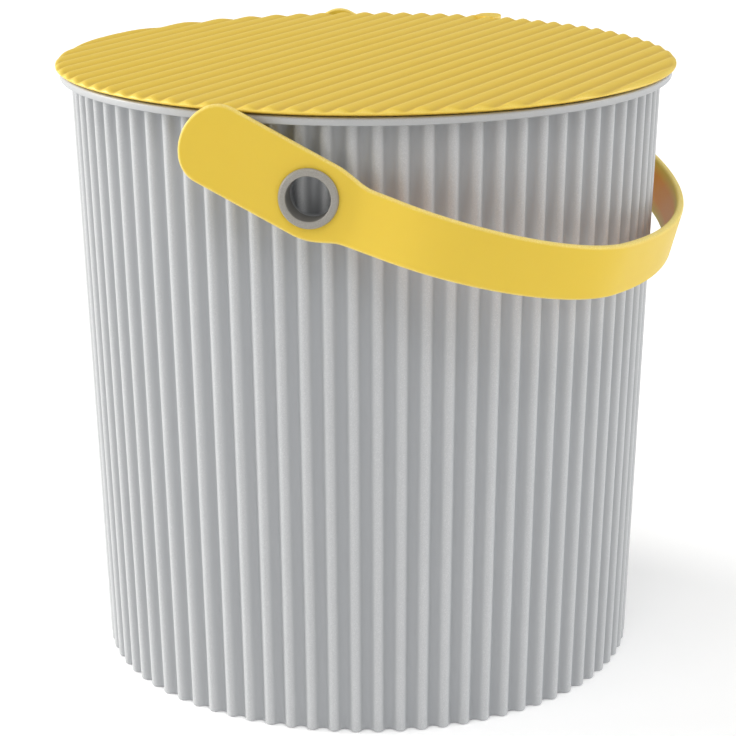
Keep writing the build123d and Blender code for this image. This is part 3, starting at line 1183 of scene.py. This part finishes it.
    def place(self, run: float, level: float, out: float, side: Side) -> Point:
        """Place in the bucket's frame of a point of the flat layout.

        Args:
            run: distance along the strap from the pivot.
            level: height in the strap's own frame.
            out: distance outwards from the strap's middle.
            side: front or back half.

        Returns:
            The place.
        """
        x, y = self.path.at(run, out)
        turn = math.radians(self.droop)
        return (x * math.cos(turn) + level * math.sin(turn), side.value * y,
                self.pivot_z + level * math.cos(turn) - x * math.sin(turn))

    def half(self, sketch: Sketch, side: Side) -> None:
        """Draws one half of the handle.

        Args:
            sketch: what to draw in.
            side: front or back half.
        """
        chain, strap_count = self.outline()
        flat = self.path.thickness / 2.0 - self.edge_round
        rows, loops = [], {}
        for angle in range(-90, 91, self.edge_turn):
            turn = math.radians(angle)
            loop = self.inset_chain(chain, self.edge_round * (1.0 - math.cos(turn)))
            out = math.copysign(flat, angle) if angle else 0.0
            out += self.edge_round * math.sin(turn)
            # Painted highlight along the rounded edges.
            painted_light_and_wear = PLAIN_BODY_TONE + self.edge_highlight_gain * math.cos(turn)
            rows.append(sketch.row([self.place(run, level, out, side) for run, level in loop], painted_light_and_wear))
            loops[angle] = loop
        for first, second in zip(rows, rows[1:]):
            sketch.bridge(first, second, closed=False)
        for angle, row in ((-90, rows[0]), (90, rows[-1])):
            self.strap_face(sketch, row, loops[angle], strap_count, angle, side)
            self.tab_face(sketch, loops[angle], strap_count, angle, side)
        self.hole(sketch, side)

    def strap_face(self, sketch: Sketch, row: list[int], loop: list[Flat], count: int, angle: int,
                   side: Side) -> None:
        """Fills the strap's flat face between its edges.

        Args:
            sketch: what to draw in.
            row: numbers of the face's outline.
            loop: places of the face's outline in the flat layout.
            count: how many of them at each end lie on the strap.
            angle: 90 for the outer face, -90 for the inner one.
            side: front or back half.
        """
        out = math.copysign(self.path.thickness / 2.0, angle)
        # The inner face gets painted shade.
        painted_light_and_wear = PLAIN_BODY_TONE if angle > 0 else self.inner_shade
        before = None
        for index in range(count):
            low, high = np.array(loop[index]), np.array(loop[-1 - index])
            inner = [self.place(*(low + (high - low) * lane / self.face_lanes), out, side)
                     for lane in range(1, self.face_lanes)]
            column = [row[index], *sketch.row(inner, painted_light_and_wear), row[-1 - index]]
            if before:
                sketch.bridge(before, column, closed=False)
            before = column

    def tab_face(self, sketch: Sketch, loop: list[Flat], count: int, angle: int, side: Side) -> None:
        """Fills the tab's flat face round its pivot hole.

        Args:
            sketch: what to draw in.
            loop: places of the face's outline in the flat layout.
            count: how many of them at each end lie on the strap.
            angle: 90 for the outer face, -90 for the inner one.
            side: front or back half.
        """
        out = math.copysign(self.path.thickness / 2.0, angle)
        outline = loop[count - 1:len(loop) - count + 1]
        low, high = np.array(outline[0]), np.array(outline[-1])
        outline = outline + [tuple(low + (high - low) * lane / self.face_lanes)
                             for lane in range(self.face_lanes - 1, 0, -1)]
        hole_edge = self.hole_r + self.hole_round
        hole = [polar(hole_edge, 360.0 * step / self.hole_steps) for step in range(self.hole_steps)]
        points = [Vector(point) for point in outline + hole]
        size = len(outline)
        edges = [(index, (index + 1) % size) for index in range(size)]
        edges += [(size + index, size + (index + 1) % self.hole_steps) for index in range(self.hole_steps)]
        found, _, faces, *_ = delaunay_2d_cdt(points, edges, [], 1, TOLERANCE)
        numbers = [sketch.add(self.place(point.x, point.y, out, side)) for point in found]
        for face in faces:
            middle = sum((found[corner] for corner in face), Vector((0.0, 0.0))) / len(face)
            if middle.length > hole_edge:
                sketch.faces.append(tuple(numbers[corner] for corner in face))

    def hole(self, sketch: Sketch, side: Side) -> None:
        """Draws the pivot hole's wall with its edges eased.

        Args:
            sketch: what to draw in.
            side: front or back half.
        """
        rows = []
        flat = self.path.thickness / 2.0 - self.hole_round
        for angle in range(-90, 91, self.hole_turn):
            turn = math.radians(angle)
            radius = self.hole_r + self.hole_round * (1.0 - math.cos(turn))
            out = (math.copysign(flat, angle) if angle else 0.0) + self.hole_round * math.sin(turn)
            circle = [polar(radius, 360.0 * step / self.hole_steps) for step in range(self.hole_steps)]
            rows.append(sketch.row([self.place(x, y, out, side) for x, y in circle]))
        for first, second in zip(rows, rows[1:]):
            sketch.bridge(first, second)

    def build(self, finish: bpy.types.Material) -> bpy.types.Object:
        """Makes the handle.

        Args:
            finish: the yellow plastic.

        Returns:
            The piece, riding on the handle's body.
        """
        sketch = Sketch()
        for side in Side:
            self.half(sketch, side)
        piece = sketch.piece("handle_strap", finish)
        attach(piece, "handle_body")
        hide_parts("handle")
        return piece


@dataclass
class Studio:
    """Pale floor, soft lights and the photograph's camera."""

    azimuth: float = 9.2755
    heading: float = 9.2493
    distance: float = 0.92406
    height: float = 0.40237
    pitch: float = 0.2971
    roll: float = -0.004
    lens: float = 107.36
    sensor_width: float = 36.0
    floor_size: float = 12.0
    floor_grey: float = 0.93
    floor_roughness: float = 0.9
    floor_glow: float = 0.15
    surround: float = 0.38
    light_spread: float = 36.0
    light_distance: float = 1.9

    def camera(self) -> bpy.types.Object:
        """Places the camera at the photograph's viewing angle.

        Returns:
            The camera.
        """
        turn = math.radians(self.heading)
        ahead = Vector((-math.sin(turn) * math.cos(self.pitch), math.cos(turn) * math.cos(self.pitch),
                        -math.sin(self.pitch)))
        right = Vector((math.cos(turn), math.sin(turn), 0.0))
        up = right.cross(ahead)
        rolled_right = math.cos(self.roll) * right + math.sin(self.roll) * up
        rolled_up = math.cos(self.roll) * up - math.sin(self.roll) * right
        pose = Matrix((rolled_right, rolled_up, -ahead)).transposed().to_4x4()
        stand_x, stand_y = polar(self.distance, self.azimuth - 90.0)
        pose.translation = Vector((stand_x, stand_y, self.height))
        data = bpy.data.cameras.new("camera")
        data.lens = self.lens
        data.sensor_width = self.sensor_width
        made = bpy.data.objects.new("camera", data)
        made.matrix_world = pose
        bpy.context.scene.collection.objects.link(made)
        bpy.context.scene.camera = made
        return made

    def floor(self) -> bpy.types.Object:
        """Lays the plain pale floor.

        Returns:
            The floor.
        """
        half = self.floor_size / 2.0
        sketch = Sketch()
        sketch.faces.append(tuple(sketch.row([(-half, -half, 0.0), (half, -half, 0.0), (half, half, 0.0),
                                              (-half, half, 0.0)])))
        material = bpy.data.materials.new("pale floor")
        material.use_nodes = True
        shader = material.node_tree.nodes["Principled BSDF"]
        shader.inputs["Base Color"].default_value = (*[self.floor_grey] * 3, 1.0)
        shader.inputs["Roughness"].default_value = self.floor_roughness
        shader.inputs["Emission Color"].default_value = WHITE
        shader.inputs["Emission Strength"].default_value = self.floor_glow
        made = sketch.piece("floor", material)
        return made

    def soft_light(self, name: str, bearing: float, lift: float, strength: float,
                   colour: tuple[float, float, float] = (1.0, 1.0, 1.0)) -> None:
        """Adds a wide far light that faces the bucket.

        Args:
            name: the light's name.
            bearing: degrees to the right of the camera.
            lift: degrees above the floor.
            strength: its strength in watts per square metre.
            colour: its colour.
        """
        data = bpy.data.lights.new(name, "SUN")
        data.angle = math.radians(self.light_spread)
        data.energy = strength
        data.color = colour
        made = bpy.data.objects.new(name, data)
        away, high = polar(self.light_distance, lift)
        made.location = (*polar(away, self.azimuth - 90.0 + bearing), high)
        made.rotation_euler = made.location.to_track_quat("Z", "Y").to_euler()
        bpy.context.scene.collection.objects.link(made)

    def lights(self) -> None:
        """Sets the surround, dim as a light and white to the eye, and the soft lights."""
        world = bpy.data.worlds.new("studio")
        world.use_nodes = True
        nodes, links = world.node_tree.nodes, world.node_tree.links
        glow = nodes["Background"]
        glow.inputs["Color"].default_value = WHITE
        glow.inputs["Strength"].default_value = self.surround
        backdrop = nodes.new("ShaderNodeBackground")
        backdrop.inputs["Color"].default_value = WHITE
        seen = nodes.new("ShaderNodeLightPath")
        chosen = nodes.new("ShaderNodeMixShader")
        links.new(seen.outputs["Is Camera Ray"], chosen.inputs[0])
        links.new(glow.outputs["Background"], chosen.inputs[1])
        links.new(backdrop.outputs["Background"], chosen.inputs[2])
        links.new(chosen.outputs["Shader"], nodes["World Output"].inputs["Surface"])
        bpy.context.scene.world = world
        self.soft_light("left window", -104.0, 16.0, 3.0, (1.0, 0.99, 0.96))
        self.soft_light("left front fill", -60.0, 25.0, 0.45, (1.0, 0.99, 0.97))
        self.soft_light("right front fill", 38.0, 28.0, 0.2)
        self.soft_light("overhead front", 0.0, 62.0, 1.05)
        self.soft_light("right window", 95.0, 18.0, 1.2, (0.98, 0.99, 1.0))

    def build(self) -> None:
        """Sets up the whole studio."""
        bpy.context.scene.view_settings.view_transform = "Standard"
        self.camera()
        self.floor()
        self.lights()


def main() -> None:
    """Loads the frame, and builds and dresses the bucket."""
    logging.basicConfig(level=logging.INFO)
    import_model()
    grain = moulded_grain_group()
    edges = shade_highlight_wear_group()
    Bucket().build(GREY_WALL.material(grain, edges))
    PivotCollars().build(GREY_COLLAR.material(grain, edges))
    Lid().build(YELLOW_LID.material(grain, edges))
    Handle().build(YELLOW_STRAP.material(grain, edges))
    Studio().build()


if __name__ == "__main__":
    main()
